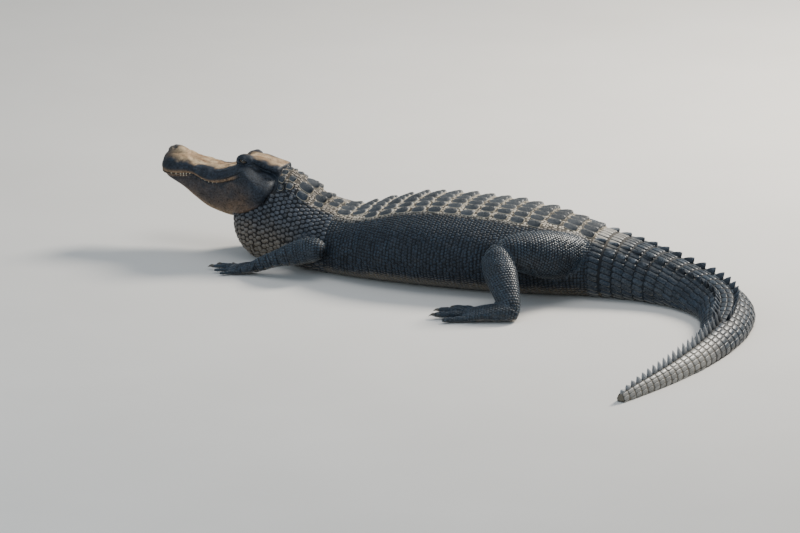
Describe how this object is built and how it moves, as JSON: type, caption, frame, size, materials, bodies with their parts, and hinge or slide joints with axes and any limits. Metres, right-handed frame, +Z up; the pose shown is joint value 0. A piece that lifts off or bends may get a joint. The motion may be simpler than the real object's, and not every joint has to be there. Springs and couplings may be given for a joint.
{
  "type": "american alligator model",
  "caption": "Life-size still model of an adult american alligator resting on its belly, head raised, legs spread and tail curled to its left.",
  "frame": {"origin": "middle of the footprint's bounding box, on the floor that the belly rests on", "axes": "+Z up, -X the way the head faces, -Y the animal's left side, towards which the tail swings"},
  "size_m": [1.8558, 1.4838, 0.2881],
  "materials": {
    "back_skin": "satin scaly hide, blue-black above and browner low on the flanks",
    "foot_skin": "satin, slightly glossy scales",
    "head_skin": "satin pebbled hide, tan along the top of the snout",
    "jaw_skin": "satin pebbled hide, brown to ochre",
    "tail_skin": "satin rectangular scales with pale edges",
    "claw_horn": "smooth dark horn",
    "eye_gloss": "wet gloss with a dark slit pupil"
  },
  "bodies": {
    "root": {"torso_front": "back_skin", "torso_middle": "back_skin", "torso_rear": "back_skin", "neck": "back_skin", "upper_arm_left": "back_skin", "upper_arm_right": "back_skin", "forearm_left": "back_skin", "forearm_right": "back_skin", "thigh_left": "back_skin", "thigh_right": "back_skin", "shank_left": "back_skin", "shank_right": "back_skin", "hand_left": "foot_skin", "hand_right": "foot_skin", "foot_left": "foot_skin", "foot_right": "foot_skin", "head_upper": "head_skin", "lower_jaw": "jaw_skin", "tail_1": "tail_skin", "tail_2": "tail_skin", "tail_3": "tail_skin", "tail_4": "tail_skin", "tail_5": "tail_skin", "tail_6": "tail_skin", "claw_hand_left_1": "claw_horn", "claw_hand_left_2": "claw_horn", "claw_hand_left_3": "claw_horn", "claw_hand_right_1": "claw_horn", "claw_hand_right_2": "claw_horn", "claw_hand_right_3": "claw_horn", "claw_foot_left_1": "claw_horn", "claw_foot_left_2": "claw_horn", "claw_foot_left_3": "claw_horn", "claw_foot_right_1": "claw_horn", "claw_foot_right_2": "claw_horn", "claw_foot_right_3": "claw_horn", "eye_left": "eye_gloss", "eye_right": "eye_gloss"}
  },
  "joints": []
}
